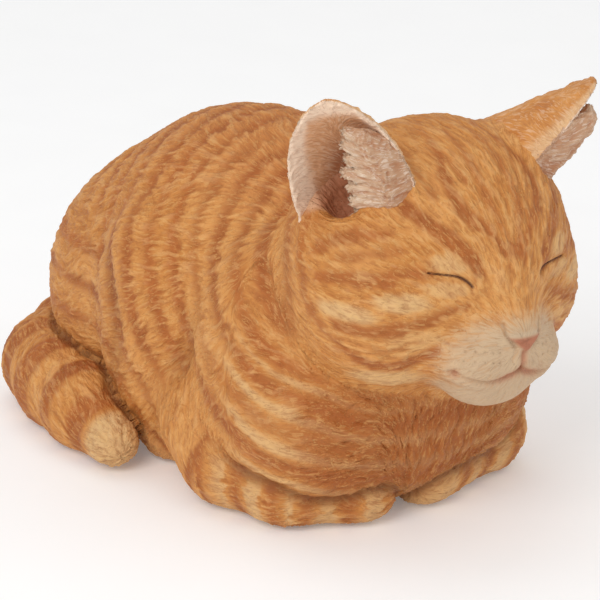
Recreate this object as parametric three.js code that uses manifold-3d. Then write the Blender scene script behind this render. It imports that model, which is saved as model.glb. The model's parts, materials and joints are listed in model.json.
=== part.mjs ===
// A cat asleep with its paws tucked under it: a hand-painted, matt, slip-cast figurine.
// Millimetres, +Z up. The cat faces -Y, and its tail lies round its right side, at -X.
// The origin is on the plane the felt rests on, on the body's middle line.
// The castings share one form, a smooth union of blobs and limbs, which is parted where real
// castings are luted together: at the neck, the ears, the forelegs and the tail.
import * as THREE from "three";
import { mergeVertices } from "three/addons/utils/BufferGeometryUtils.js";
import Module from "manifold-3d";

// Driving dimensions
const WALL = 5; // wall of the slip-cast body and head
const GAP = 0.3; // joint between two pieces
const FELT = 1.2; // thickness of the felt under the figurine
const GROUND = FELT + GAP; // height of the castings' ground-flat undersides
const FELT_INSET = 3; // felt edge behind the castings' foot line
const FELT_MIDDLE = 16; // where along Y the felt's outline is taken from
const POUR_R = 11; // radius of the pour hole in the underside
const STOPPER_LIP = 2; // how far the stopper's lip reaches over the hole's edge inside
const LET_IN = 3; // depth of the groove in the head that an ear's foot is let into
const SKULL_BLEND = 10; // softness of the meeting of head and body
const FAR = 400; // longer than anything here
const SKIN_DETAIL = 16; // fineness of the outer skin
const HOLLOW_DETAIL = 8; // fineness of the hollow

// Places that several pieces share
const HEAD = [-2, -57, 79]; // middle of the skull
const HEAD_NOD = 4; // degrees that the chin is turned towards the chest
const HEAD_ROLL = 4; // degrees that the head leans to the cat's left
const CORE = [0, -22, 68]; // a point inside the neck that sees the whole of the form's surface
const NECK = [0, -40, 74]; // a point of the plane where the head is luted on
const NECK_TILT = 43.5; // degrees of that plane from horizontal
const POUR = [0, 22]; // centre of the pour hole
const PAWS_MEET = -8; // where along X the two paws touch

// Limbs: points [x, y, z, radius] along the middle line
const TAIL = [
  [3, 85, 24, 14],
  [-12, 92.5, 15, 14],
  [-28, 86.5, 12.5, 13.5],
  [-36.5, 69.5, 12.5, 13],
  [-42, 50, 12, 12],
  [-48, 29, 9.5, 8],
];
const FORELEGS = {
  right: [
    [-35, -2, 21, 15],
    [-35.5, -13, 14.5, 14.5],
    [-33, -34, 12.5, 12.5],
    [-17, -46.5, 11, 11.5],
  ],
  left: [
    [36, -2, 21, 15],
    [38.5, -15, 13.5, 14.5],
    [36.5, -37.5, 12.5, 13.5],
    [6, -48, 11, 11.5],
  ],
};

// Ears, in the head's frame: where the root and the tip are, and which way the opening faces
const EARS = {
  right: { s: -1, root: [-30, -4, 19.5], tip: [-52, -9.5, 56], faces: [-0.745, -0.665, -0.05] },
  left: { s: 1, root: [28, -4, 26], tip: [43.5, -16, 52], faces: [0.74, -0.67, 0.05] },
};
const EAR_WIDTH = 17.3; // half of the ear's width at its root
const EAR_DEPTH = 15; // depth of the cup behind its rim at the root
const EAR_WALL = 2.4;
const LOCKS = 6; // locks of hair across an ear's opening

const rad = THREE.MathUtils.degToRad;
const { lerp, clamp } = THREE.MathUtils;
const vec = (a) => new THREE.Vector3(...a);
const moved = (x, y, z) => new THREE.Matrix4().makeTranslation(x, y, z);

// The form: functions of a point, below zero inside and about the distance outside

function blob(centre, radii, lean = [0, 0, 0]) {
  const toOwn = new THREE.Matrix4()
    .makeRotationFromEuler(new THREE.Euler(...lean.map(rad), "ZYX"))
    .setPosition(...centre)
    .invert();
  const r = vec(radii);
  return (p) => {
    const q = p.clone().applyMatrix4(toOwn).divide(r);
    const k = q.length();
    return (k * (k - 1)) / Math.max(q.divide(r).length(), 1e-6);
  };
}

function cone([ax, ay, az, ra], [bx, by, bz, rb]) {
  const line = new THREE.Line3(new THREE.Vector3(ax, ay, az), new THREE.Vector3(bx, by, bz));
  const foot = new THREE.Vector3();
  return (p) => {
    const t = line.closestPointToPointParameter(p, true);
    return line.at(t, foot).distanceTo(p) - lerp(ra, rb, t);
  };
}

function blend(a, b, k) {
  const h = clamp(0.5 + (0.5 * (b - a)) / k, 0, 1);
  return lerp(b, a, h) - k * h * (1 - h);
}

const join = (k, ...forms) => (p) => forms.map((f) => f(p)).reduce((a, b) => blend(a, b, k));
const both = (make) => [-1, 1].map(make);
const limbForm = (points) => join(6, ...points.slice(1).map((b, i) => cone(points[i], b)));

const torso = join(
  7,
  join(16, blob([0, 17, 55.5], [43, 56, 49]), blob([0, 61.5, 39], [37, 37, 41.5])),
  blob([0, 18, 30], [38, 56, 40]),
  join(
    11,
    blob([0, -41, 42], [43.5, 28, 40]),
    ...both((s) => blob([s * 27, -22, 46], [22, 26, 38])),
    ...both((s) => blob([s * 28, -35, 32], [21, 24, 26])),
  ),
  ...both((s) => blob([s * 30, 26, 38], [17, 22, 42], [0, s * 8, s * 4])),
);

const skull = join(
  8,
  blob([0, 0, 2], [43.3, 37, 38.8]),
  ...both((s) => blob([s * 24, -8, -8], [20, 21, 20])),
  ...both((s) => blob([s * 8.5, -33, -16.5], [11.5, 10, 8.5])),
  cone([0, -27, 6, 9], [0, -34, -7, 9]),
  blob([0, -30, -25.5], [12, 9, 7]),
);
const headFrame = new THREE.Matrix4()
  .makeRotationFromEuler(new THREE.Euler(rad(HEAD_NOD), rad(HEAD_ROLL), 0, "ZYX"))
  .setPosition(...HEAD);
const toHead = headFrame.clone().invert();
const cat = (p) => blend(torso(p), skull(p.clone().applyMatrix4(toHead)), SKULL_BLEND);
const legForm = { [-1]: limbForm(FORELEGS.right), 1: limbForm(FORELEGS.left) };
const tailForm = limbForm(TAIL);
const limbs = (p) => Math.min(legForm[-1](p), legForm[1](p), tailForm(p));
const inside = (p) => Math.max(cat(p) + WALL, WALL + GAP - limbs(p));

// Geometry

// A geometry's positions alone, with shared points merged.
function bare(g) {
  g.deleteAttribute("normal");
  g.deleteAttribute("uv");
  return mergeVertices(g, 1e-4);
}

// An icosphere whose points are drawn in along rays until they meet the form.
function sculpt(form, detail, centre = CORE) {
  const g = bare(new THREE.IcosahedronGeometry(1, detail));
  const at = g.attributes.position;
  const from = vec(centre);
  for (let i = 0; i < at.count; i++) {
    const ray = new THREE.Vector3().fromBufferAttribute(at, i).normalize();
    let t = 150;
    for (let step = 0; step < 60; step++) {
      t -= 0.75 * form(ray.clone().multiplyScalar(t).add(from));
    }
    at.setXYZ(i, ...ray.multiplyScalar(t).add(from));
  }
  return g;
}

// A capsule bent along a smooth line through points [x, y, z, radius], thicker by grow.
function limb(points, grow, sides, steps, caps) {
  const curve = new THREE.CatmullRomCurve3(points.map(([x, y, z]) => new THREE.Vector3(x, y, z)));
  const frames = curve.computeFrenetFrames(steps);
  const g = bare(new THREE.CapsuleGeometry(1, steps, caps, sides, steps));
  const at = g.attributes.position;
  for (let i = 0; i < at.count; i++) {
    const core = clamp(at.getY(i), -steps / 2, steps / 2);
    const k = Math.round(core + steps / 2);
    const along = (k / steps) * (points.length - 1);
    const span = Math.min(Math.floor(along), points.length - 2);
    const r = lerp(points[span][3], points[span + 1][3], along - span) + grow;
    const p = curve
      .getPoint(k / steps)
      .addScaledVector(frames.tangents[k], (at.getY(i) - core) * r)
      .addScaledVector(frames.normals[k], at.getX(i) * r)
      .addScaledVector(frames.binormals[k], -at.getZ(i) * r);
    at.setXYZ(i, p.x, p.y, p.z);
  }
  return g;
}

// Solids

const wasm = await Module();
wasm.setup();

function solid(geometry, matrix = new THREE.Matrix4()) {
  const g = bare(geometry.clone()).applyMatrix4(matrix);
  return new wasm.Manifold(
    new wasm.Mesh({
      numProp: 3,
      vertProperties: new Float32Array(g.attributes.position.array),
      triVerts: new Uint32Array(g.index.array),
    }),
  );
}

// Everything on one side of a plane through a point, tilted about X from horizontal.
function halfSpace(point, tilt, side, gap = 0) {
  const m = new THREE.Matrix4().makeRotationX(rad(tilt)).setPosition(...point);
  m.multiply(moved(0, 0, side * (FAR / 2 + gap / 2)));
  return solid(new THREE.BoxGeometry(FAR, FAR, FAR), m);
}

// The largest piece of a solid that a cut has left in several.
const largest = (made) =>
  made.decompose().reduce((a, b) => (b.volume() > a.volume() ? b : a));

const tail = (grow) => solid(limb(TAIL, grow, 18, 16, 4));
const leg = (s, grow) => solid(sculpt((p) => legForm[s](p) - grow, 6, [s * 34, -26, 15]));
const aboveGround = halfSpace([0, 0, GROUND], 0, 1);
const skin = (grow, detail) => solid(sculpt((p) => cat(p) - grow, detail));

// Ears. An ear's own frame has Z from root to tip and Y out of its opening.

function earFrame({ root, tip, faces }) {
  const up = vec(tip).sub(vec(root));
  const length = up.length();
  up.normalize();
  const out = vec(faces).addScaledVector(up, -vec(faces).dot(up)).normalize();
  const side = new THREE.Vector3().crossVectors(out, up);
  const own = new THREE.Matrix4().makeBasis(side, out, up).setPosition(...root);
  return { frame: headFrame.clone().multiply(own), length };
}

// A cupped leaf: two layers of a grid, across by u and up by t, sewn together at their edges.
function earCup({ frame, length }, grow = 0, across = 12, rows = 10) {
  const from = -0.2;
  const layer = (across + 1) * (rows + 1);
  const points = [];
  const faces = [];
  for (const front of [0, 1]) {
    for (let j = 0; j <= rows; j++) {
      const t = lerp(from, 0.985, 1 - (1 - j / rows) ** 1.4);
      const up = Math.max(t, 0);
      const w = EAR_WIDTH * (1 - up ** 2.6) ** 0.6 + grow;
      const depth = EAR_DEPTH * (1 - 0.95 * up);
      const half = (EAR_WALL / 2) * (1 - 0.4 * up) + grow;
      for (let i = 0; i <= across; i++) {
        const u = lerp(-1, 1, i / across);
        const slope = (2 * depth * u) / w;
        const lean = 1 / Math.hypot(1, slope);
        const out = front ? half : -half;
        points.push(w * u - out * slope * lean, -depth * (1 - u * u) + out * lean, t * length);
      }
    }
  }
  const quad = (a, b, c, d) => faces.push(a, b, c, a, c, d);
  for (let j = 0; j < rows; j++) {
    for (let i = 0; i < across; i++) {
      const a = j * (across + 1) + i;
      const [b, c, d] = [a + 1, a + across + 2, a + across + 1];
      quad(a, b, c, d);
      quad(a + layer, d + layer, c + layer, b + layer);
    }
  }
  for (let j = 0; j < rows; j++) {
    const a = j * (across + 1);
    const d = a + across + 1;
    quad(a, d, d + layer, a + layer);
    quad(a + across, a + across + layer, d + across + layer, d + across);
  }
  for (let i = 0; i < across; i++) {
    const top = rows * (across + 1) + i;
    quad(i, i + layer, i + 1 + layer, i + 1);
    quad(top, top + 1, top + 1 + layer, top + layer);
  }
  const g = new THREE.BufferGeometry()
    .setAttribute("position", new THREE.Float32BufferAttribute(points, 3))
    .setIndex(faces);
  return solid(g, frame);
}

// The hollow of the ear, which goes on down into the head.
function earScoop(s, { frame, length }, grow = 0) {
  const radii = [EAR_WIDTH * 0.52 + grow, 9 + grow, length * 0.42 + grow];
  const m = frame.clone().multiply(moved(-s * 3, -2.5, length * 0.3)).scale(vec(radii));
  return solid(new THREE.SphereGeometry(1, 16, 10), m);
}

const outer = skin(0, SKIN_DETAIL);
const clearOfSkin = skin(GAP, SKIN_DETAIL);
const letInDepth = skin(-LET_IN, HOLLOW_DETAIL);
const grooveDepth = skin(-LET_IN - GAP, HOLLOW_DETAIL);
const hollow = solid(sculpt(inside, HOLLOW_DETAIL));

const ear = (e) => largest(earCup(earFrame(e)).subtract(letInDepth));

// Locks of hair laid across the ear's opening from its inner edge.
function earTuft(e) {
  const own = earFrame(e);
  const inner = e.s;
  let tuft = null;
  for (let i = 0; i < LOCKS; i++) {
    const up = i / (LOCKS - 1);
    const z = own.length * lerp(0.08, 0.62, up);
    const lock = limb(
      [
        [inner * EAR_WIDTH * lerp(0.84, 0.62, up), -2.4, z - 1.5, 2.6],
        [inner * EAR_WIDTH * 0.45, 0, z, 2.7],
        [inner * EAR_WIDTH * 0.02, 0.6, z - 0.5, 1],
      ],
      0,
      7,
      4,
      2,
    );
    const made = solid(lock, own.frame);
    tuft = tuft ? tuft.add(made) : made;
  }
  return largest(tuft.subtract(earCup(own, GAP)).subtract(clearOfSkin));
}

// Castings

function bodyCasting() {
  const pour = new THREE.CylinderGeometry(POUR_R, POUR_R, 4 * WALL, 32).rotateX(Math.PI / 2);
  return largest(
    outer
      .intersect(aboveGround)
      .intersect(halfSpace(NECK, NECK_TILT, -1, GAP))
      .subtract(hollow.intersect(halfSpace([0, 0, GROUND + WALL], 0, 1)))
      .subtract(solid(pour, moved(...POUR, GROUND)))
      .subtract(tail(GAP))
      .subtract(leg(-1, GAP))
      .subtract(leg(1, GAP)),
  );
}

function headCasting() {
  let head = outer.intersect(halfSpace(NECK, NECK_TILT, 1, GAP)).subtract(hollow);
  for (const e of Object.values(EARS)) {
    const own = earFrame(e);
    head = head
      .subtract(earCup(own, GAP).subtract(grooveDepth))
      .subtract(earScoop(e.s, own).subtract(grooveDepth));
  }
  return largest(head);
}

function forelegCasting(s) {
  const side = moved(PAWS_MEET + s * (FAR + GAP) / 2, 0, 0);
  return leg(s, 0)
    .intersect(aboveGround)
    .intersect(solid(new THREE.BoxGeometry(FAR, FAR, FAR), side));
}

// The stopper: a rubber plug whose lip snaps in over the pour hole's edge.
function stopper() {
  const top = GROUND + WALL + GAP;
  const r = POUR_R - GAP;
  const profile = [
    [0, GROUND + GAP],
    [r, GROUND + GAP],
    [r, top],
    [r + STOPPER_LIP, top],
    [r + STOPPER_LIP / 2, top + 2.5],
    [0, top + 2.5],
  ].map(([x, y]) => new THREE.Vector2(x, y));
  const g = new THREE.LatheGeometry(profile, 32).rotateX(Math.PI / 2);
  return solid(g, moved(...POUR, 0));
}

// The felt follows the foot line of the whole figurine, drawn in by a margin.
function felt() {
  const edge = [];
  const sides = 72;
  const foot = join(12, cat, legForm[-1], legForm[1]);
  for (let i = 0; i < sides; i++) {
    const a = (i / sides) * 2 * Math.PI;
    const ray = new THREE.Vector3(Math.cos(a), Math.sin(a), 0);
    const p = new THREE.Vector3();
    let r = 130;
    for (let step = 0; step < 60; step++) {
      p.copy(ray).multiplyScalar(r).add(new THREE.Vector3(0, FELT_MIDDLE, GROUND));
      r -= 0.7 * (foot(p) + FELT_INSET);
    }
    edge.push(new THREE.Vector2(p.x, p.y));
  }
  const g = new THREE.ExtrudeGeometry(new THREE.Shape(edge), { depth: FELT, bevelEnabled: false });
  return solid(g);
}

// Materials, a new one for each piece
const matt = (color, roughness = 0.7) => new THREE.MeshStandardMaterial({ color, roughness });
const GINGER = 0xc98a4b;
const CREAM = 0xd9c3a8;
const BLACK = 0x1b1a1a;

const figurine = new THREE.Group();

function add(name, made, material) {
  const m = made.getMesh();
  const g = new THREE.BufferGeometry()
    .setAttribute("position", new THREE.BufferAttribute(m.vertProperties, 3))
    .setIndex(new THREE.BufferAttribute(m.triVerts, 1));
  const mesh = new THREE.Mesh(g, material);
  mesh.name = name;
  figurine.add(mesh);
}

add("body_casting", bodyCasting(), matt(GINGER));
add("head_casting", headCasting(), matt(GINGER));
add("tail_casting", tail(0).intersect(aboveGround), matt(GINGER));
for (const [side, e] of Object.entries(EARS)) {
  add(`foreleg_${side}`, forelegCasting(e.s), matt(GINGER));
  add(`ear_${side}`, ear(e), matt(GINGER));
  add(`ear_tuft_${side}`, earTuft(e), matt(CREAM));
}
add("pour_hole_stopper", stopper(), matt(BLACK, 0.8));
add("base_felt", felt(), matt(BLACK, 0.95));

export default figurine;
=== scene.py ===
"""Looks of a hand-painted figurine of a tabby cat asleep, built around its packed castings.

The form is written in the row's frame in millimetres: the cat faces -Y, its right side is at -X.
One carved skin is made for the whole cat, then parted into a piece for each casting.
"""

import json
import math

import bmesh
import bpy
import numpy as np
import openvdb as vdb
from mathutils import Matrix, Vector

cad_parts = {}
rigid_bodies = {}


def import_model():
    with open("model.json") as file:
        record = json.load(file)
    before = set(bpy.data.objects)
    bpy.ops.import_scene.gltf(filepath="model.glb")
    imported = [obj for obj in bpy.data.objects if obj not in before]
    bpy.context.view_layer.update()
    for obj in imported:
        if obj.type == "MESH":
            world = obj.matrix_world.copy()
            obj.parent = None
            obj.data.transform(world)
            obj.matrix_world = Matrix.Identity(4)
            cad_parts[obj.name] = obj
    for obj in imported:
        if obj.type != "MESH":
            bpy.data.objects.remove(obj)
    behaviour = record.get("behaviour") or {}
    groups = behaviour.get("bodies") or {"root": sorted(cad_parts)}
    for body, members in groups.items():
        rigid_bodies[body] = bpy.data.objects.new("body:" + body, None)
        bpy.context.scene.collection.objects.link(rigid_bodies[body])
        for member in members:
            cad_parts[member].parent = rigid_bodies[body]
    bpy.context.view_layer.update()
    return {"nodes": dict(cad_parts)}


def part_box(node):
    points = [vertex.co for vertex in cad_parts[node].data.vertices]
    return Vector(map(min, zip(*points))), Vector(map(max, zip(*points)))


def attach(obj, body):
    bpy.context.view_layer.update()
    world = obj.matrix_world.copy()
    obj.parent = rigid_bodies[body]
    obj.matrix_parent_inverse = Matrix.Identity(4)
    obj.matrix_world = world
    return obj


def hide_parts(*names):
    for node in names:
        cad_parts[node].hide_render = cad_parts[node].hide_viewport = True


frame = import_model()

MM = 0.001
F = np.float32

low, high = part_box("body_casting")
GROUND = low.z / MM  # height of the castings' undersides

# ---------------------------------------------------------------- the form


def rot(rx, ry, rz):
    rx, ry, rz = np.radians([rx, ry, rz])
    cx, sx, cy, sy, cz, sz = np.cos(rx), np.sin(rx), np.cos(ry), np.sin(ry), np.cos(rz), np.sin(rz)
    x = np.array([[1, 0, 0], [0, cx, -sx], [0, sx, cx]])
    y = np.array([[cy, 0, sy], [0, 1, 0], [-sy, 0, cy]])
    z = np.array([[cz, -sz, 0], [sz, cz, 0], [0, 0, 1]])
    return z @ y @ x


def ell(p, centre, radii, lean=None):
    q = p - np.array(centre, F)
    if lean is not None:
        q = q @ rot(*lean).astype(F)
    r = np.array(radii, F)
    q = q / r
    k0 = np.sqrt((q * q).sum(-1))
    q = q / r
    k1 = np.sqrt((q * q).sum(-1))
    return k0 * (k0 - 1) / np.maximum(k1, 1e-6)


def cone(p, a, b):
    pa, ra = np.array(a[:3], F), a[3]
    ab, rb = np.array(b[:3], F) - pa, b[3]
    h = np.clip(((p - pa) @ ab) / (ab @ ab), 0, 1)
    return np.sqrt(((p - pa - h[..., None] * ab) ** 2).sum(-1)) - (ra + h * (rb - ra))


def smin(a, b, k):
    h = np.clip(0.5 + 0.5 * (b - a) / k, 0, 1)
    return b + h * (a - b) - k * h * (1 - h)


def smooth(x, a, b):
    t = np.clip((x - a) / (b - a), 0, 1)
    return t * t * (3 - 2 * t)


def smax(a, b, k):
    return -smin(-a, -b, k)


def join(k, *ds):
    d = ds[0]
    for e in ds[1:]:
        d = smin(d, e, k)
    return d


def limb(p, points, k=6):
    return join(k, *[cone(p, a, b) for a, b in zip(points[:-1], points[1:])])


# Limbs are chains of points x, y, z with a radius; ears have a root, a tip and the way they face,
# in the head's frame. -1 is the cat's right side, 1 its left.
HEAD = np.array((-2, -57, 79), F)
HEAD_TURN = rot(4, 4, 0).astype(F)
TAIL = [(3, 85, 24, 14), (-12, 92.5, 15, 14), (-28, 86.5, 12.5, 13.5), (-36.5, 69.5, 12.5, 13),
        (-42, 50, 12, 12), (-48, 29, 9.5, 8)]
LEGS = {-1: [(-35, -2, 21, 15), (-35.5, -13, 14.5, 14.5), (-33, -34, 12.5, 12.5),
             (-17, -46.5, 11, 11.5)],
        1: [(36, -2, 21, 15), (38.5, -15, 13.5, 14.5), (36.5, -37.5, 12.5, 13.5),
            (6, -48, 11, 11.5)]}
PAWS_MEET = -8  # where along X the two paws touch
NECK = np.array((0, -40, 74), F)
NECK_TILT = math.radians(43.5)
NECK_UP = np.array((0, -math.sin(NECK_TILT), math.cos(NECK_TILT)), F)
EARS = {-1: ((-30, -4, 19.5), (-52, -9.5, 56), (-0.745, -0.665, -0.05)),
        1: ((28, -4, 26), (43.5, -16, 52), (0.74, -0.67, 0.05))}
EAR_WIDTH, EAR_DEPTH, EAR_WALL = 17.3, 15.0, 2.4


def in_head(p):
    return (p - HEAD) @ HEAD_TURN


def torso(p):
    back = join(16, ell(p, (0, 17, 55.5), (43, 56, 49)), ell(p, (0, 61.5, 39), (37, 37, 41.5)))
    chest = join(11, ell(p, (0, -41, 42), (43.5, 28, 40)),
                 *[ell(p, (s * 27, -22, 46), (22, 26, 38)) for s in (-1, 1)],
                 *[ell(p, (s * 28, -35, 32), (21, 24, 26)) for s in (-1, 1)])
    return join(7, back, ell(p, (0, 18, 30), (38, 56, 40)), chest,
                *[ell(p, (s * 30, 26, 38), (17, 22, 42), (0, s * 8, s * 4)) for s in (-1, 1)])


def skull(q):
    """The head in its own frame, with the features that are more than fur."""
    d = join(8, ell(q, (0, 0, 2), (43.3, 37, 38.8)),
             *[ell(q, (s * 24, -8, -8), (20, 21, 20)) for s in (-1, 1)],
             *[ell(q, (s * 8.5, -33, -16.5), (11.5, 10, 8.5)) for s in (-1, 1)],
             cone(q, (0, -27, 6, 9), (0, -34, -7, 9)),
             ell(q, (0, -30, -25.5), (12, 9, 7)))
    return d


def ear_frame(s):
    root, tip, faces = (np.array(a, F) for a in EARS[s])
    up = tip - root
    length = np.linalg.norm(up)
    up = up / length
    out = faces - up * (faces @ up)
    out = out / np.linalg.norm(out)
    return root, np.cross(out, up), out, up, length


def in_ear(q, s):
    root, side, out, up, length = ear_frame(s)
    q = q - root
    return q @ side, q @ out, q @ up, length


def ear(q, s):
    x, y, z, length = in_ear(q, s)
    t = np.clip(z / length, 0, 0.999)
    w = EAR_WIDTH * (1 - t**2.6) ** 0.6
    depth = EAR_DEPTH * (1 - 0.95 * t)
    u = np.clip(x / w, -1.2, 1.2)
    sheet = np.abs(y + depth * (1 - u * u)) / np.sqrt(1 + (2 * depth * u / w) ** 2)
    sheet = sheet - EAR_WALL / 2 * (1 - 0.4 * t)
    return smax(smax(sheet, np.abs(x) - w, 1.2), np.maximum(z - length, -z - 8), 1.0)


def ear_scoop(q, s):
    x, y, z, length = in_ear(q, s)
    p = np.stack([x, y, z], -1)
    return ell(p, (-s * 3.5, -2.5, length * 0.22), (EAR_WIDTH * 0.42, 7.5, length * 0.32))


def legs(p):
    return np.minimum(*[limb(p, LEGS[s]) for s in (-1, 1)])


def tail(p):
    return limb(p, TAIL)


def cat(p):
    q = in_head(p)
    d = skull(q)
    for s in (-1, 1):
        d = smin(d, ear(q, s) + 1.3, 6)
        d = smax(d, -ear_scoop(q, s), 4)
    return smin(torso(p), d, 10)


def whole(p):
    # the upper part of a foreleg melts into the shoulder
    melt = 1.5 + 8 * smooth(p[..., 1], -34, -12)
    d = smin(cat(p), legs(p), melt)
    d = smin(d, tail(p), 1.2)
    return np.maximum(d, GROUND - p[..., 2])


# ---------------------------------------------------------------- meshes of the form


def grid_mesh(form, lo, hi, h):
    """A quad mesh of the zero surface of a form, with points h apart, in millimetres."""
    axes = [np.arange(a, b + h, h, dtype=F) for a, b in zip(lo, hi)]
    slabs = []
    for part in np.array_split(axes[0], 6):
        slabs.append(form(np.stack(np.meshgrid(part, axes[1], axes[2], indexing="ij"), -1)))
    g = vdb.FloatGrid()
    g.copyFromArray(np.ascontiguousarray(np.concatenate(slabs, 0).astype(F)))
    points, quads = g.convertToQuads(0.0)
    return (points * h + np.array(lo)).astype(F), quads.astype(np.int64)


def halve(v, q):
    """Every quad made into four."""
    n = len(v)
    a = np.concatenate([q[:, [i, (i + 1) % 4]] for i in range(4)])
    key = a.min(1) * n + a.max(1)
    unique, where = np.unique(key, return_inverse=True)
    mids = (v[unique // n] + v[unique % n]) / 2
    where = where.reshape(4, -1) + n
    centre = np.arange(len(q)) + n + len(mids)
    parts = [np.stack([q[:, i], where[i], centre, where[i - 1]], 1) for i in range(4)]
    return np.concatenate([v, mids, v[q].mean(1)]).astype(F), np.concatenate(parts)


CORNERS = np.array([(1, -1, -1), (-1, -1, 1), (-1, 1, -1), (1, 1, 1)], F)


def slope(form, p, e=0.25):
    return sum(c * form(p + e * c)[..., None] for c in CORNERS) / (4 * e)


def settle(form, p, rounds=2):
    for _ in range(rounds):
        g = slope(form, p)
        p = p - g * (form(p) / np.maximum((g * g).sum(-1), 0.1))[..., None]
    g = slope(form, p)
    return p, g / np.maximum(np.linalg.norm(g, axis=-1, keepdims=True), 1e-6)


# ---------------------------------------------------------------- noise and fur

rng = np.random.default_rng(11)
BODY_STEP, HEAD_STEP = 1.2, 0.84  # of the first grids, which are halved once, in mm
SLIVER = 0.03 * MM  # the shortest edge that a cut may leave
LAP = 4  # how far the body's skin and the head's overlap before they are cut, in mm
LATTICE = rng.standard_normal((64, 64, 64)).astype(F)


def noise(p, scale, shift=0.0):
    q = p / scale + shift
    i = np.floor(q).astype(np.int32)
    f = (q - i).astype(F)
    f = f * f * (3 - 2 * f)
    i0, i1 = i & 63, (i + 1) & 63
    total = 0
    for cx, ix in ((1 - f[..., 0], i0[..., 0]), (f[..., 0], i1[..., 0])):
        for cy, iy in ((1 - f[..., 1], i0[..., 1]), (f[..., 1], i1[..., 1])):
            for cz, iz in ((1 - f[..., 2], i0[..., 2]), (f[..., 2], i1[..., 2])):
                total = total + cx * cy * cz * LATTICE[ix, iy, iz]
    return total


def unit(v):
    return v / np.maximum(np.linalg.norm(v, axis=-1, keepdims=True), 1e-6)


def along(p, points):
    """How far along a chain of points each p is, in mm, and the chain's direction there."""
    best = np.full(len(p), 1e9, F)
    far = np.zeros(len(p), F)
    way = np.zeros_like(p)
    start = 0.0
    for a, b in zip(points[:-1], points[1:]):
        pa = np.array(a[:3], F)
        ab = np.array(b[:3], F) - pa
        length = np.linalg.norm(ab)
        h = ((p - pa) @ ab) / (ab @ ab)
        hc = np.clip(h, 0, 1)
        d = np.linalg.norm(p - pa - hc[:, None] * ab, axis=-1)
        hit = d < best
        best = np.where(hit, d, best)
        far = np.where(hit, start + h * length, far)
        way = np.where(hit[:, None], ab / length, way)
        start += length
    return far, way


def strokes(p, n, flow, scale, length, bend, shift=0.0, steps=10):
    """Relief of hair locks lying along flow: each rises from its root and ends at its tip."""
    total = np.zeros(len(p), F)
    length = np.broadcast_to(np.asarray(length, F), (len(p),))
    bend = np.broadcast_to(np.asarray(bend, F), (len(p),))
    for k in range(steps):
        s = (k + 0.5) / steps
        x = p - flow * (s * length)[:, None] - n * (bend * (s * length) ** 2 / 2)[:, None]
        total += (0.25 + 0.75 * s) * noise(x, scale, shift)
    return total / total.std()


NOSE = np.array((0, -43, -9), F)


def regions(p):
    """Shares of head, body, legs and tail at each point."""
    d = np.stack([skull(in_head(p)), torso(p), legs(p), tail(p)], 1)
    w = np.exp(-(d - d.min(1, keepdims=True)) / 1.5)
    w[:, 0] = np.exp(-(d[:, 0] - d.min(1)) / 3.5)
    return w / w.sum(1, keepdims=True)


def fur_flow(p, n, share):
    q = in_head(p)
    face = unit(q - NOSE) @ HEAD_TURN.T
    nape = smooth(q[:, 1], 5, 30)[:, None]
    face = unit(face + nape * np.array((0, 0.4, -0.5), F))
    side = np.tanh(p[:, 0] / MIDLINE)
    one = np.ones_like(side)
    centre = np.stack([side * BAND_FROM[0], one * BAND_FROM[1], one * BAND_FROM[2]], 1)
    back = unit(p - centre) + np.stack([0 * one, 0.5 * one, -0.30 * one], 1)
    fore = np.stack([-0.45 * side, -0.85 * one, -0.12 * one], 1)
    parting = parting_of(p)
    forward = (smooth(parting, 18, 34) * (1 - smooth(p[:, 2], 70, 96)))[:, None]
    body = unit(back) * (1 - forward) + unit(fore) * forward
    chin = smooth(-p[:, 1], 48, 62)[:, None] * smooth(-np.abs(p[:, 0]), -30, -4)[:, None]
    fan = unit((p - np.array((0, -58, 66), F)) * (0.3, 1, 1))
    body = body * (1 - chin) + fan * chin * 1.2
    leg = np.where((p[:, 0] < PAWS_MEET)[:, None], along(p, LEGS[-1])[1],
                   along(p, LEGS[1])[1])
    elbow = smooth(p[:, 1], -26, -6)[:, None]
    leg = leg + elbow * np.array((0, 0.3, -1.0), F)
    tails = along(p, TAIL)[1] + np.array((0, 0, -0.35), F)
    v = share[:, :1] * face + share[:, 1:2] * body + share[:, 2:3] * leg + share[:, 3:] * tails
    v = v - n * (v * n).sum(1, keepdims=True)
    v = unit(v)
    turn = 0.26 * noise(p, 11.0, 3.1) + 0.12 * noise(p, 4.5, 9.7)
    turn = turn * (1 - 0.6 * share[:, 0])
    w = np.cross(n, v)
    return unit(v * np.cos(turn)[:, None] + w * np.sin(turn)[:, None]).astype(F)


def curve(points, steps=6):
    """Points of a smooth curve through the given ones."""
    p = np.array(points, float)
    p = np.concatenate([[2 * p[0] - p[1]], p, [2 * p[-1] - p[-2]]])
    out = []
    for i in range(1, len(p) - 2):
        for t in np.arange(steps) / steps:
            a, b, c, d = p[i - 1:i + 3]
            out.append(0.5 * (2 * b + (c - a) * t + (2 * a - 5 * b + 4 * c - d) * t**2
                              + (3 * b - a - 3 * c + d) * t**3))
    out.append(p[-2])
    return np.array(out, F)


def on_skull(points):
    return settle(skull, curve(points), 4)[0]


def ridge(x, at, half):
    """1 at each of the given places, falling to 0 within half on both sides."""
    return sum(np.clip(1 - np.abs(x - a) / half, 0, 1) for a in at)


def parting_of(p):
    """How far a point is in front of the line where the coat parts on the shoulder."""
    return -p[:, 1] + 0.1 * (p[:, 2] - 60)


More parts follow.
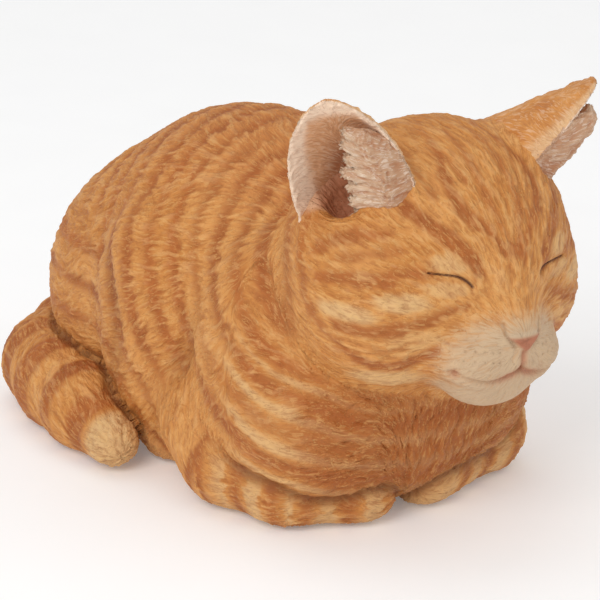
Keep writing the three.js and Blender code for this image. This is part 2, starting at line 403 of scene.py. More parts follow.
def near_line(q, points, reach=12.0):
    """Distance to a chain of points, and how far along it, from 0 to 1."""
    best = np.full(len(q), 1e3, F)
    at = np.zeros(len(q), F)
    points = np.asarray(points, F)
    lo, hi = points.min(0) - reach, points.max(0) + reach
    close = np.where(((q > lo) & (q < hi)).all(1))[0]
    r = q[close]
    d0, t0 = best[close], at[close]
    m = len(points) - 1
    for i in range(m):
        a, ab = points[i], points[i + 1] - points[i]
        h = np.clip(((r - a) @ ab) / (ab @ ab), 0, 1)
        d = np.linalg.norm(r - a - h[:, None] * ab, axis=-1)
        hit = d < d0
        d0 = np.where(hit, d, d0)
        t0 = np.where(hit, (i + h) / m, t0)
    best[close], at[close] = d0, t0
    return best, at


def mirrored(points, s):
    return [(s * x, y, z) for x, y, z in points]


# Lines of the face, in the head's frame: x across, y back, z up; drawn lines are laid on the
# skull's surface, so that these need only be near it. All but the eyes are given for the left.
EYES = {-1: [(-14, -35, 5.5), (-15.5, -34.5, 7), (-18, -33, 8.5), (-21.5, -31, 9), (-26, -29, 9.5)],
        1: [(9.5, -36, 6.5), (11, -35.5, 7.5), (14.5, -34.5, 8), (19, -33, 8), (23.5, -30.5, 7.5)]}
MOUTH = [(0, -43, -18), (4.5, -42.5, -20), (10, -42, -21), (15, -40, -20), (19, -36.5, -18.5)]
LIP_FOLD = [(8, -43, -18.5), (13, -41.5, -18), (17, -39, -17)]
WHISKERS = [[(8, -43, -12), (12, -40.5, -12), (16.5, -37.5, -12)],
            [(8, -43.5, -15), (12.5, -41.5, -14.5), (17, -38, -14.5)]]
CREASE = [(6.5, -41, -4.5), (6, -42.5, -7.5), (3, -43.5, -11)]
PHILTRUM = [(0, -44, -12), (0, -43.5, -18.5)]

# Dark strokes of the face, on its left side: points, half width, strength
STREAKS = [
    ([(27, -17, 25), (24, -24, 22), (19, -29, 18), (14, -33, 13), (12, -35, 9)], 2.2, 1.0),
    ([(11, -11, 37), (15, -22, 30), (13, -28, 24), (8, -32, 20), (3, -35, 14)], 1.8, 0.9),
    ([(9, -1, 40), (11, -14, 36), (9, -22, 31)], 0.9, 0.7),
    ([(18, -2, 35), (20, -13, 31), (19, -21, 26)], 0.9, 0.6),
    ([(4, -6, 40), (5, -20, 33), (5, -28, 27), (3, -33, 20), (0, -36, 14)], 1.4, 0.7),
    ([(-2, -36, 13), (2, -35, 16)], 2.2, 1.0),
    ([(25, -29, 9), (31, -25, 9), (37, -21, 6), (42, -12, 5), (44, -5, 3)], 1.5, 0.9),
    ([(33, -18, 18), (39, -9, 15), (42, -1, 10)], 2.2, 0.8),
    ([(30, -21, 14), (36, -16, 12), (41, -8, 9)], 1.4, 0.6),
    ([(15, -35, 0), (21, -33, -2), (28, -30, -5), (34, -27, -7), (40, -21, -8), (43, -13, -8)],
     1.8, 0.85),
    ([(21, -33, -12), (25, -29, -15), (32, -24, -19), (38, -20, -18), (42, -14, -13)], 1.8, 1.0),
    ([(28, -30, -10), (34, -26, -13), (40, -19, -12)], 1.2, 0.5),
    ([(42, -14, -13), (45, -6, -8), (45, 1, -1), (43, 5, 8), (40, 6, 16)], 1.7, 0.75),
]

# Pale patches of the face: centre, radii, strength
PATCHES = [
    ((20, -32, 12), (9, 9, 3.5), 0.65),
    ((21, -32, 5), (8, 9, 3), 0.6),
    ((32, -27, 1), (9, 9, 3.5), 0.8),
    ((41, -14, -4), (7, 13, 3.5), 0.85),
    ((28, -29, -10), (12, 9, 4.5), 0.55),
    ((28, -20, -24), (14, 12, 5.5), 0.75),
    ((6, -38, 6), (4, 9, 5), 0.3),
]

# Creases of the body's right side, mirrored on its left: points and half width
BODY_CREASES = [
    ([(43, -6, 62), (42, -1, 48), (43, 5, 36), (46, 4, 26), (47, 4, 14)], 3.0),
    ([(36, 51, 66), (44, 37, 63), (47, 30, 53), (47, 29, 40), (43, 35, 26), (38, 37, 14)], 3.2),
]

# Dark bands lie round a point inside each side of the head, further apart towards the rump
BAND_FROM = (12, -46, 77)
MIDLINE = 8.0  # how softly the two sides of the coat meet
FIRST_BAND, BAND_GAP, GAP_GROWS, LAST_BAND = 32, 7.0, 0.14, 14
BANDS = [FIRST_BAND + BAND_GAP * i + GAP_GROWS * i * i for i in range(LAST_BAND + 1)]
FAINT_BANDS = {3: 0.55, 11: 0.7}
BAND_STRENGTH = [FAINT_BANDS.get(i, 0.9) for i in range(LAST_BAND + 1)]
BAND_HALF, FOLD_HALF = 2.3, 2.7  # half widths of a band and of the fold under it
STREAK_STRENGTH = 0.82
HAUNCH_RINGS = (26, 37, 48, 59)  # heights of the dark rings round the thigh
TAIL_RINGS = (24, 41, 58, 75, 90)  # distances along the tail from its root
LEG_RINGS = (13, 26, 39, 52, 65)  # distances along a foreleg from the shoulder

# ---------------------------------------------------------------- the carved skin


def above_neck(p):
    """Height over the plane on which the head sits."""
    return (p - NECK) @ NECK_UP


def bell(x, half):
    return np.exp(-((x / half) ** 2))


def from_neck(p, side):
    """Distance from the point inside the head that the bands of the flank lie round."""
    return np.linalg.norm(np.stack([p[:, 0] - side * BAND_FROM[0], p[:, 1] - BAND_FROM[1],
                                    p[:, 2] - BAND_FROM[2]], 1), axis=1)


def flank_bands(reach, half):
    return sum(w * bell(reach - a, half) for a, w in zip(BANDS, BAND_STRENGTH))


def bands_and_folds(v, shift, body, wander):
    """The dark bands of flank and haunch, and the folds that lie under those of the flank."""
    side = np.tanh(v[:, 0] / MIDLINE)
    bands = flank_bands(from_neck(shift, side) + wander, BAND_HALF)
    folds = flank_bands(from_neck(v, side) + wander, FOLD_HALF)
    behind = v[:, 1] + 0.35 * np.abs(v[:, 0]) - 0.5 * (v[:, 2] - 30)
    haunch = body * smooth(behind, 43, 50) * smooth(-v[:, 2], -78, -62)
    rounds = sum(bell(shift[:, 2] + wander - a, 2.4) for a in HAUNCH_RINGS)
    bands = bands * (1 - haunch) + 0.9 * rounds * haunch
    broken = smooth(noise(v * (1, 1, 0.45), 10.0, 1.7), -1.0, 0.7)
    return bands * (0.6 + 0.4 * broken), folds * (1 - haunch)


def streaks(q, ragged):
    """The dark strokes of the face, from 0 to 1."""
    dark = np.zeros(len(q), F)
    for points, half, strong in STREAKS:
        for s in (-1, 1):
            d, t = near_line(q, on_skull(mirrored(points, s)))
            taper = 0.85 * half * (0.5 + 0.5 * np.sin(math.pi * np.clip(t, 0.1, 0.9)))
            mark = smooth(-(d + ragged), -taper - 2.4, -taper + 1.0)
            dark = np.maximum(dark, STREAK_STRENGTH * strong * mark)
    return dark


def grooves(v, body, leg):
    """Where a limb or the tail lies against the body, and the softer creases of the body: carved
    in, and painted with shade.
    """
    d_cat, d_leg, d_tail = cat(v), legs(v), tail(v)
    joint = bell(d_cat - d_leg, 1.4) * smooth(-v[:, 1], 16, 32)
    joint = np.maximum(joint, bell(np.minimum(d_cat, d_leg) - d_tail, 1.6))
    joint = np.maximum(joint, bell(v[:, 0] - PAWS_MEET, 1.3) * leg * smooth(-v[:, 1], 40, 50))
    one_side = np.stack([np.abs(v[:, 0]), v[:, 1], v[:, 2]], 1)
    crease = np.zeros(len(v), F)
    for points, wide in BODY_CREASES:
        d, t = near_line(one_side, curve(points), 16)
        fade = np.sin(math.pi * np.clip(t, 0.04, 0.96))
        crease = np.maximum(crease, body * bell(np.maximum(d - 1, 0), wide) * fade)
    return joint, crease


def face_lines(h, head, lift):
    """Cuts eyes, mouth, nose and whisker pits into the relief, and says where they are painted."""
    line, pink, shut = (np.zeros(len(h), F) for _ in range(3))
    for s in (-1, 1):
        d, t = near_line(h, on_skull(EYES[s]))
        width = 0.62 - 0.25 * t
        lift = lift * (1 - 0.85 * bell(d, 3.5))
        lift = lift + 0.55 * bell(d - 2.2, 1.5) - 0.8 * bell(d, width)
        line = np.maximum(line, 0.85 * bell(d, 0.9 * width))
        shut = np.maximum(shut, bell(d, 4.0))
        d, t = near_line(h, on_skull(mirrored(MOUTH, s)))
        lift = lift - 0.9 * bell(d, 0.75) + 0.4 * bell(d - 2.4, 1.7)
        pink = np.maximum(pink, 0.8 * bell(d, 1.3) * (1 - 0.85 * smooth(t, 0.2, 0.6)))
        pink = np.maximum(pink, 0.7 * bell(d, 1.5) * smooth(t, 0.88, 1.0))
        lift = lift - 0.7 * bell(d, 1.6) * smooth(t, 0.9, 1.0)
        d, _ = near_line(h, on_skull(mirrored(LIP_FOLD, s)))
        lift = lift - 0.35 * bell(d, 0.8)
        d, _ = near_line(h, on_skull(mirrored(CREASE, s)))
        lift = lift - 0.8 * bell(d, 0.75)
        line = np.maximum(line, 0.4 * bell(d, 0.8))
    front = np.where((h[:, 1] < -34) & (h[:, 2] < -4) & (head > 0.5))[0]
    for s in (-1, 1):
        for row in WHISKERS:
            d = np.full(len(h), 9.0, F)
            for pit in on_skull(mirrored(row, s))[::3]:
                d[front] = np.minimum(d[front], np.linalg.norm(h[front] - pit, axis=1))
            lift = lift - 0.4 * bell(d, 0.45)
            line = np.maximum(line, 0.45 * bell(d, 0.5))
    d, _ = near_line(h, on_skull(PHILTRUM))
    lift = lift - 0.8 * bell(d, 0.8)
    pink = np.maximum(pink, 0.75 * bell(d, 1.2))

    # the nose leather: a triangle with its point down
    x, z = np.abs(h[:, 0] - 0.4), h[:, 2] + 8.0
    edge = np.maximum(z, x * 0.62 - (z + 4.8) * 0.78)
    ahead = smooth(-h[:, 1], 36, 40)
    leather = smooth(-edge, -0.5, 0.6) * ahead * (x < 9)
    lift = lift * (1 - leather) + 0.45 * leather
    pink = np.maximum(pink, leather)
    # a painted highlight along the top edge of the nose leather
    rim = bell(z - 0.5, 0.7) * smooth(-x, -6.5, -5) * ahead
    return lift, line, pink, shut, rim


def ear_hollows(h, head):
    """The skin inside an ear, and the painted shade far down in its cup."""
    inner, hollow_shade = np.zeros(len(h), F), np.zeros(len(h), F)
    for s in (-1, 1):
        x, y, z, length = in_ear(h, s)
        u = np.clip(x / EAR_WIDTH, -1, 1)
        before = y + EAR_DEPTH * (1 - 0.95 * np.clip(z / length, 0, 1)) * (1 - u * u)
        cup = smooth(-np.abs(x) / EAR_WIDTH, -1.02, -0.82) * smooth(y, -20, -15)
        cup = cup * smooth(-y, -0.5, 2.0) * smooth(z, -14, -8) * head * smooth(before, -1, 0.5)
        inner = np.maximum(inner, cup)
        # painted shade, darker further down in the ear's cup
        hollow_shade = np.maximum(hollow_shade, cup * smooth(-ear_scoop(h, s), -3.5, 0.2))
    return np.clip(inner, 0, 1), hollow_shade


def carve(form, lo, hi, step):
    """A skin of the cat: carved points, quads, marks for the paint, and the way the fur lies."""
    v, q = grid_mesh(form, lo, hi, step)
    v, q = halve(v, q)
    v, n = settle(form, v)
    flat = v[:, 2] < GROUND + 0.05
    share = regions(v)
    h = in_head(v)
    flow = fur_flow(v, n, share)
    head, body, leg, tails = share.T

    # the fur: short on the muzzle and face, long on the chest
    d_muzzle = np.linalg.norm((h - (0, -40, -17)) / (20, 14, 12), axis=1)
    d_chin = np.linalg.norm((h - (0, -34, -26)) / (17, 14, 8), axis=1)
    muzzle = np.maximum(smooth(-d_muzzle, -1.75, -0.7), smooth(-d_chin, -1.7, -0.7)) * head
    face = head * smooth(-h[:, 1], 2, 30)
    nape = head * (1 - smooth(-h[:, 1], -8, 6))
    chest = body * smooth(-v[:, 1], 44, 60)
    bend = 0.022 * head + 0.018 * body + 0.01 * leg + 0.012 * tails
    length = 7.5 - 3.5 * face + 4 * chest
    locks = strokes(v, n, flow, 1.6, 1.3 * length, bend)
    fine = strokes(v, n, flow, 0.85, 0.8 * length, bend, 5.3)

    # dark marks of the coat: their edges run out along the locks
    shift = v - flow * (0.3 * locks + 0.6 * fine)[:, None]
    hs = in_head(shift)
    wander = 0.9 * noise(v, 17, 4.4)
    bands, folds = bands_and_folds(v, shift, body, wander)
    rings = ridge(along(shift, TAIL)[0] + wander, TAIL_RINGS, 6.0)
    arm = np.where(v[:, 0] < PAWS_MEET, along(shift, LEGS[-1])[0], along(shift, LEGS[1])[0])
    cuffs = ridge(arm + wander, LEG_RINGS, 4.8)
    stripe = (body * bands + tails * smooth(rings, 0.05, 0.8)
              + leg * 0.75 * smooth(cuffs, 0.2, 0.95) + 0.75 * nape * bands)
    stripe = np.maximum(stripe, head * streaks(hs, 0.5 * noise(v, 3.0, 8.8)))

    # relief
    joint, crease = grooves(v, body, leg)
    lift = (0.07 * locks + 0.15 * fine) * (1 - 0.3 * face) * (1 - 0.7 * muzzle)
    lift = lift * (1 + 1.3 * chest) - 0.6 * (body + 0.6 * nape) * folds
    lift = lift - 0.2 * tails * smooth(rings, 0, 1) - 0.9 * joint - 1.5 * crease
    lift, line, pink, shut, rim = face_lines(h, head, lift)
    lift = np.where(flat, 0, lift)
    carved = v + n * lift[:, None]
    carved[:, 2] = np.where(flat, GROUND, carved[:, 2])

    # pale marks
    cream = 0.3 * shut
    for centre, radii, strong in PATCHES:
        for s in (-1, 1):
            d = np.linalg.norm((hs - np.array(mirrored([centre], s)[0], F)) / radii, axis=1)
            cream = np.maximum(cream, head * strong * smooth(-d, -1.25, -0.5))
    cream = np.maximum(cream, 0.8 * body * smooth(parting_of(v), 14, 34)
                       * smooth(-bands, -0.35, -0.05) * smooth(-v[:, 2], -72, -50))
    cream = np.maximum(cream, 0.85 * leg * smooth(-cuffs, -0.45, 0.0) * smooth(arm, 12, 24))
    cream = np.maximum(cream, 0.6 * leg * smooth(-v[:, 2], -9, -2))
    cream = np.maximum(cream, tails * smooth(along(v, TAIL)[0], 92, 100))
    cream = np.maximum(cream, 0.4 * body * smooth(-v[:, 2], -26, -8))
    cream = cream * (1 - 0.85 * np.clip(stripe, 0, 1))
    cream = np.maximum(cream, 0.6 * muzzle)

    inner, hollow_shade = ear_hollows(h, head)
    marks = dict(
        stripe=np.clip(stripe, 0, 1.2), cream=np.clip(cream, 0, 1), pink=np.clip(pink, 0, 1),
        line=np.clip(line, 0, 1), white=np.clip(muzzle, 0, 1), nose_highlight=np.clip(rim, 0, 1),
        high=np.clip(smooth(v[:, 2], 78, 100) * body * smooth(v[:, 1], -40, 0), 0, 1),
        lift=np.clip(0.5 + 0.28 * (0.5 * locks + 0.8 * fine), 0, 1),
        # painted shade in the grooves where a leg or the tail lies against the body, and in the
        # body's creases
        crease_shade=np.clip(np.maximum(joint, 0.45 * crease), 0, 1), hollow_shade=hollow_shade, inner=inner,
        shade=np.clip(chest * smooth(-v[:, 2], -62, -40), 0, 1),
    )
    return carved, q, marks, flow


def make_object(name, v, q, marks=(), flow=None):
    me = bpy.data.meshes.new(name)
    me.vertices.add(len(v))
    me.vertices.foreach_set("co", (v * MM).astype(F).ravel())
    me.loops.add(q.size)
    me.loops.foreach_set("vertex_index", q.astype(np.int32).ravel())
    me.polygons.add(len(q))
    me.polygons.foreach_set("loop_start", np.arange(0, q.size, q.shape[1], dtype=np.int32))
    me.update(calc_edges=True)
    me.polygons.foreach_set("use_smooth", np.ones(len(me.polygons), bool))
    for key in marks:
        me.attributes.new(key, "FLOAT", "POINT").data.foreach_set("value", marks[key].astype(F))
    if flow is not None:
        me.attributes.new("flow", "FLOAT_VECTOR", "POINT").data.foreach_set("vector", flow.ravel())
    o = bpy.data.objects.new(name, me)
    bpy.context.scene.collection.objects.link(o)
    return o


# ---------------------------------------------------------------- parting the skin into pieces


def only(*objects):
    for o in bpy.context.scene.objects:
        o.select_set(False)
    for o in objects:
        o.select_set(True)
    bpy.context.view_layer.objects.active = objects[0]


def object_of(bm, name):
    me = bpy.data.meshes.new(name)
    bm.to_mesh(me)
    bm.free()
    o = bpy.data.objects.new(name, me)
    bpy.context.scene.collection.objects.link(o)
    return o


def big_block(name, normal, point, size=400):
    """A block that ends at the plane through point (mm), on the side away from the normal."""
    bm = bmesh.new()
    bmesh.ops.create_cube(bm, size=size * MM)
    turn = Vector(normal).to_track_quat("Z", "Y").to_matrix().to_4x4()
    n = Vector(normal).normalized()
    turn.translation = Vector(point) * MM - n * (size * MM / 2)
    bm.transform(turn)
    return object_of(bm, name)


def cutter(name, form, lo, hi, h=1.6):
    v, q = grid_mesh(form, lo, hi, h)
    v, q = halve(v, q)
    v, _ = settle(form, v, 1)
    return make_object(name, v, q)


def cut(o, tool, operation):
    m = o.modifiers.new("cut", "BOOLEAN")
    m.solver = "MANIFOLD"
    m.operation = operation
    m.object = tool
    only(o)
    bpy.ops.object.modifier_apply(modifier=m.name)
    return o


def pocket(node, room=0.3 * MM):
    """A cylinder with a little room round an upright node, open to below it."""
    low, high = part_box(node)
    radius, top = (high.x - low.x) / 2 + room, high.z + room
    bm = bmesh.new()
    bmesh.ops.create_cone(bm, cap_ends=True, segments=64, radius1=radius, radius2=radius,
                          depth=2 * top)
    bm.transform(Matrix.Translation(((low.x + high.x) / 2, (low.y + high.y) / 2, 0)))
    return object_of(bm, "pocket")


def copy_of(o, name):
    c = o.copy()
    c.data = o.data.copy()
    c.name = c.data.name = name
    bpy.context.scene.collection.objects.link(c)
    return c


def drop(*objects):
    for o in objects:
        me = o.data
        bpy.data.objects.remove(o)
        bpy.data.meshes.remove(me)


def clean(o):
    """Closes the slivers that cutting leaves, and drops all that is not the piece itself.

    A flap or a crumb hangs on by edges that more than two faces share, or not at all.
    """
    bm = bmesh.new()
    bm.from_mesh(o.data)
    bmesh.ops.remove_doubles(bm, verts=bm.verts, dist=SLIVER)
    bmesh.ops.dissolve_degenerate(bm, edges=bm.edges, dist=SLIVER)
    bmesh.ops.triangulate(bm, faces=bm.faces)
    bm.faces.index_update()
    islands, seen = [], [False] * len(bm.faces)
    for start in bm.faces:
        if seen[start.index]:
            continue
        seen[start.index] = True
        island, todo = [start], [start]
        while todo:
            for e in todo.pop().edges:
                if len(e.link_faces) != 2:
                    continue
                for f in e.link_faces:
                    if not seen[f.index]:
                        seen[f.index] = True
                        island.append(f)
                        todo.append(f)
        islands.append(island)
    piece = max(islands, key=len)
    crumbs = [f for island in islands if island is not piece for f in island]
    bmesh.ops.delete(bm, geom=crumbs, context="FACES")
    bm.to_mesh(o.data)
    bm.free()


def crisp(o, degrees=55):
    o.data.set_sharp_from_angle(angle=math.radians(degrees))


def part(coat, head):
    above = big_block("above", NECK_UP * -1, NECK)
    leg_tools = {s: cutter("leg_tool", lambda p, s=s: limb(p, LEGS[s]) - 0.9,
                           (-64, -72, -4), (60, 22, 40)) for s in (-1, 1)}
    tail_tool = cutter("tail_tool", lambda p: tail(p) - 0.9, (-64, 18, -4), (24, 112, 44))
    half = big_block("half", (1, 0, 0), (PAWS_MEET, 0, 0))
    pieces = {}
    pieces["head"] = cut(copy_of(head, "head_coat"), above, "INTERSECT")
    body = cut(copy_of(coat, "body_coat"), above, "DIFFERENCE")
    pieces["tail"] = cut(copy_of(body, "tail_coat"), tail_tool, "INTERSECT")
    body = cut(body, tail_tool, "DIFFERENCE")
    cut(leg_tools[-1], half, "INTERSECT")
    cut(leg_tools[1], half, "DIFFERENCE")
    for s, side in ((-1, "right"), (1, "left")):
        name = "foreleg_" + side
        pieces[name] = cut(copy_of(body, name + "_coat"), leg_tools[s], "INTERSECT")
        body = cut(body, leg_tools[s], "DIFFERENCE")
    hole = pocket("pour_hole_stopper")
    pieces["body"] = cut(body, hole, "DIFFERENCE")
    drop(hole, above, half, tail_tool, *leg_tools.values(), coat, head)
    for o in pieces.values():
        clean(o)
        crisp(o)
    return pieces


# ---------------------------------------------------------------- ears


def ear_skin(s):
    root, side, out, up, length = ear_frame(s)
    tip = root + up * length
    lo = np.minimum(root, tip) - 21
    hi = np.maximum(root, tip) + 21
    v, q = grid_mesh(lambda p: ear(p, s), lo, hi, 0.85)
    v, q = halve(v, q)
    v, n = settle(lambda p: ear(p, s), v)
    x, _, z, _ = in_ear(v, s)
    t = np.clip(z / length, 0, 1)
    w = EAR_WIDTH * (1 - np.clip(t, 0, 0.999)**2.6) ** 0.6
    u = np.clip(x / np.maximum(w, 2), -1.1, 1.1)
    inside = smooth(n @ out, -0.1, 0.3)
    rim = np.maximum(smooth(np.abs(u), 0.5, 0.95), smooth(t, 0.72, 0.97))
    # hairs lean outwards to the edge, and over it
    away = np.stack([u * 1.6, 0.5 + 0 * u, 0.7 + 0 * u], -1) @ np.stack([side, out, up])
    flow = unit(away - n * (away * n).sum(1, keepdims=True))
    turn = 0.22 * noise(v, 6.0, 2.0 + s)
    flow = unit(flow * np.cos(turn)[:, None] + np.cross(n, flow) * np.sin(turn)[:, None]).astype(F)
    locks = strokes(v, n, flow, 1.3, 5.0, 0.03, 4.0 + s)
    fine = strokes(v, n, flow, 0.7, 3.0, 0.03, 7.0 + s)
    lift = (0.12 * locks + 0.1 * fine) * (1 - 0.75 * inside * (1 - rim))
    flow = (flow @ HEAD_TURN.T).astype(F)
    # painted shade low in the ear's cup, strongest along its middle
    hollow_shade = inside * (1 - rim) * smooth(-t, -0.8, -0.2)
    hollow_shade = hollow_shade * np.exp(-(((u * s - 0.02) / 0.5) ** 2))
    back = 1 - inside
    marks = dict(stripe=0.4 * back * smooth(noise(v, 5, 3.3), -0.2, 1.0), cream=rim * inside,
                 hollow_shade=np.clip(hollow_shade, 0, 1), inner=np.clip(inside, 0, 1),
                 edge=np.clip(rim * back * smooth(np.abs(u), 0.8, 1.0), 0, 1))
    return (v + n * lift[:, None]) @ HEAD_TURN.T + HEAD, q, marks, flow


TUFT_STANDS = {-1: 2.6, 1: 4.6}  # how far a tuft stands out of its ear

# Clumps of the ear's hair: height up the ear, how far across they reach, rise, thickness
CLUMPS = [(0.68, 0.26, 3.0, 2.2), (0.57, 0.16, 3.4, 2.8), (0.47, 0.14, 2.4, 3.0),
          (0.37, 0.04, 1.6, 3.2), (0.27, 0.06, 0.2, 3.2), (0.18, 0.02, -1.0, 3.2),
          (0.09, 0.06, -1.5, 3.1), (0.00, -0.06, -1.0, 3.1), (-0.08, -0.36, 1.5, 3.2),
          (-0.15, -0.5, 2.5, 3.2)]


def tuft_form(q, s):
    """The mass of hair in the ear: clumps that fan from its edge near the other ear."""
    root, side, out, up, length = ear_frame(s)
    to_head = np.stack([side, out, up])
    stand = TUFT_STANDS[s]
    d = None
    for high, reach, rise, thick in CLUMPS:
        z = high * length
        t = min(max(high, 0), 0.99)
        w = EAR_WIDTH * (1 - t**2.6) ** 0.6
        depth = EAR_DEPTH * (1 - 0.95 * t)
        z0 = z * 0.86 + 0.5
        a = (s * w * 0.88, -depth * 0.2 + 0.8, z0)
        b = (s * w * 0.55, stand, z + rise * 0.5)
        c = (s * w * reach, stand - 2.2 * high, z + rise)
        a, b, c = (np.array(k, F) @ to_head + root for k in (a, b, c))
        e = np.minimum(cone(q, (*a, thick * 0.8), (*b, thick)),
                       cone(q, (*b, thick), (*c, thick * 0.6)))
        d = e if d is None else smin(d, e, 2.8)
    x, y, z, _ = in_ear(q, s)
    t = np.clip(z / length, 0, 0.99)
    w = EAR_WIDTH * (1 - t**2.6) ** 0.6
    wall = -y - EAR_DEPTH * (1 - 0.95 * t) * (1 - np.clip(x / w, -1.2, 1.2)**2)
    return smax(d, wall, 0.6)


def tuft(s):
    root, side, out, up, length = ear_frame(s)
    tip = root + up * length
    lo = np.minimum(root, tip) - 22
    hi = np.maximum(root, tip) + 22
    v, q = grid_mesh(lambda p: tuft_form(p, s), lo, hi, 0.7)
    v, q = halve(v, q)
    v, n = settle(lambda p: tuft_form(p, s), v)
    x, _, z, _ = in_ear(v, s)
    t = np.clip(z / length, 0, 0.99)
    w = EAR_WIDTH * (1 - t**2.6) ** 0.6
    across = 1 - np.clip(s * x / w, -0.2, 1)
    lean = 0.55 * smooth(t, 0.1, 0.7)
    away = np.stack([-s * np.ones_like(x), 0.1 - 0.5 * across, lean], -1)
    flow = (away @ np.stack([side, out, up])).astype(F)
    flow = unit(flow - n * (flow * n).sum(1, keepdims=True))
    turn = 0.12 * noise(v, 5.0, 5.0 + s)
    flow = unit(flow * np.cos(turn)[:, None] + np.cross(n, flow) * np.sin(turn)[:, None]).astype(F)
    locks = strokes(v, n, flow, 1.1, 9.0, 0.02, 1.0 + s)
    fine = strokes(v, n, flow, 0.7, 5.0, 0.02, 3.0 + s)
    lift = 0.17 * locks + 0.11 * fine
    tips = n @ ((-s * side).astype(F))
    lift = lift + 0.3 * smooth(tips, 0.2, 0.9) * locks
    # paler towards the ends of the hairs; the share from the locks makes raised locks paler, partly
    # dry-brush and partly painted highlight
    tint = np.clip(0.35 + 0.55 * smooth(across, 0.15, 1.0) + 0.16 * locks, 0, 1)
    marks = dict(tint=tint, lift=np.clip(0.5 + 0.3 * (0.5 * locks + 0.8 * fine), 0, 1))
    return (v + n * lift[:, None]) @ HEAD_TURN.T + HEAD, q, marks, (flow @ HEAD_TURN.T).astype(F)


# ---------------------------------------------------------------- materials


def linear(rgb):
    c = np.array(rgb) / 255
    return tuple(np.where(c <= 0.04045, c / 12.92, ((c + 0.055) / 1.055) ** 2.4)) + (1.0,)


class Paint:
    """A material's nodes, joined up by short calls."""

    def __init__(self, name, rough=0.6):
        self.m = bpy.data.materials.new(name)
        self.m.use_nodes = True
        self.t = self.m.node_tree
        self.shader = next(n for n in self.t.nodes if n.type == "BSDF_PRINCIPLED")
        self.shader.inputs["Roughness"].default_value = rough
        self.shader.inputs["Specular IOR Level"].default_value = 0.3
        self.count = 0

    def node(self, kind, **settings):
        n = self.t.nodes.new(kind)
        n.location = (-220 * (1 + self.count // 8), -180 * (self.count % 8))
        self.count += 1
        for k, value in settings.items():
            setattr(n, k, value)
        return n

    def put(self, value, socket):
        if isinstance(value, bpy.types.NodeSocket):
            self.t.links.new(value, socket)
        else:
            socket.default_value = value

    def math(self, op, *values, clamp=False):
        n = self.node("ShaderNodeMath", operation=op, use_clamp=clamp)
        for i, value in enumerate(values):
            self.put(value, n.inputs[i])
        return n.outputs[0]

    def vmath(self, op, *values, out=0):
        n = self.node("ShaderNodeVectorMath", operation=op)
        for i, value in enumerate(values):
            self.put(value, n.inputs[i])
        return n.outputs[out]

    def mix(self, share, a, b, blend="MIX"):
        n = self.node("ShaderNodeMix", data_type="RGBA", blend_type=blend)
        self.put(share, n.inputs[0])
        self.put(a, n.inputs[6])
        self.put(b, n.inputs[7])
        return n.outputs[2]

    def mark(self, name, out="Fac"):
        return self.node("ShaderNodeAttribute", attribute_name=name).outputs[out]

    def noise(self, vector, scale, detail=2.0, rough=0.5):
        n = self.node("ShaderNodeTexNoise")
        self.put(vector, n.inputs["Vector"])
        n.inputs["Scale"].default_value = scale
        n.inputs["Detail"].default_value = detail
        n.inputs["Roughness"].default_value = rough
        return n.outputs["Fac"]

    def ramp(self, value, a, b, lo=0.0, hi=1.0):
        n = self.node("ShaderNodeMapRange", interpolation_type="SMOOTHSTEP")
        for key, v in zip(("Value", "From Min", "From Max", "To Min", "To Max"),
                          (value, a, b, lo, hi)):
            self.put(v, n.inputs[key])
        return n.outputs[0]

    def position(self):
        return self.node("ShaderNodeTexCoord").outputs["Object"]

    def hairs(self, cell, long, wide, seed):
        """Noise drawn out along the coat's flow, in cells small enough for the flow to be even."""
        p = self.position()
        v = self.node("ShaderNodeTexVoronoi", feature="F1")
        moved = self.vmath("ADD", p, (seed, seed * 0.7, seed * 1.3))
        self.put(moved, v.inputs["Vector"])
        v.inputs["Scale"].default_value = 1 / cell
        off = self.vmath("SUBTRACT", moved, v.outputs["Position"])
        flow = self.vmath("NORMALIZE", self.mark("flow", "Vector"))
        up = self.node("ShaderNodeNewGeometry").outputs["True Normal"]
        side = self.vmath("NORMALIZE", self.vmath("CROSS_PRODUCT", up, flow))
        combine = self.node("ShaderNodeCombineXYZ")
        self.put(self.math("MULTIPLY", self.vmath("DOT_PRODUCT", off, flow, out=1), 1 / long),
                 combine.inputs[0])
        self.put(self.math("MULTIPLY", self.vmath("DOT_PRODUCT", off, side, out=1), 1 / wide),
                 combine.inputs[1])
        random = self.vmath("SCALE", v.outputs["Color"])
        random.node.inputs["Scale"].default_value = 40.0
        return self.noise(self.vmath("ADD", combine.outputs[0], random), 1.0, 1.5, 0.5)

    def bump(self, height, strength, distance):
        n = self.node("ShaderNodeBump")
        n.inputs["Strength"].default_value = strength
        n.inputs["Distance"].default_value = distance
        self.put(height, n.inputs["Height"])
        self.put(n.outputs[0], self.shader.inputs["Normal"])


GOLD = linear((212, 147, 80))
GOLD_DEEP = linear((198, 130, 63))
STRIPE = linear((176, 100, 44))
STRIPE_DEEP = linear((160, 86, 34))
CREAM = linear((218, 180, 128))
WHITE = linear((200, 173, 142))
ROSE = linear((180, 114, 84))
LINE = linear((92, 56, 42))
EAR_HOLLOW_SHADE = linear((168, 104, 70))
DRYBRUSH_AND_HIGHLIGHT = linear((236, 186, 126))
LOCK_GAP_SHADE = linear((150, 82, 36))
LIGHT_STRAND_AND_HIGHLIGHT = linear((234, 186, 118))
DARK_STRAND_AND_SHADE = linear((156, 86, 36))
BACK = linear((190, 116, 60))
EAR_SKIN = linear((218, 172, 136))
CREASE_SHADE = linear((96, 48, 22))


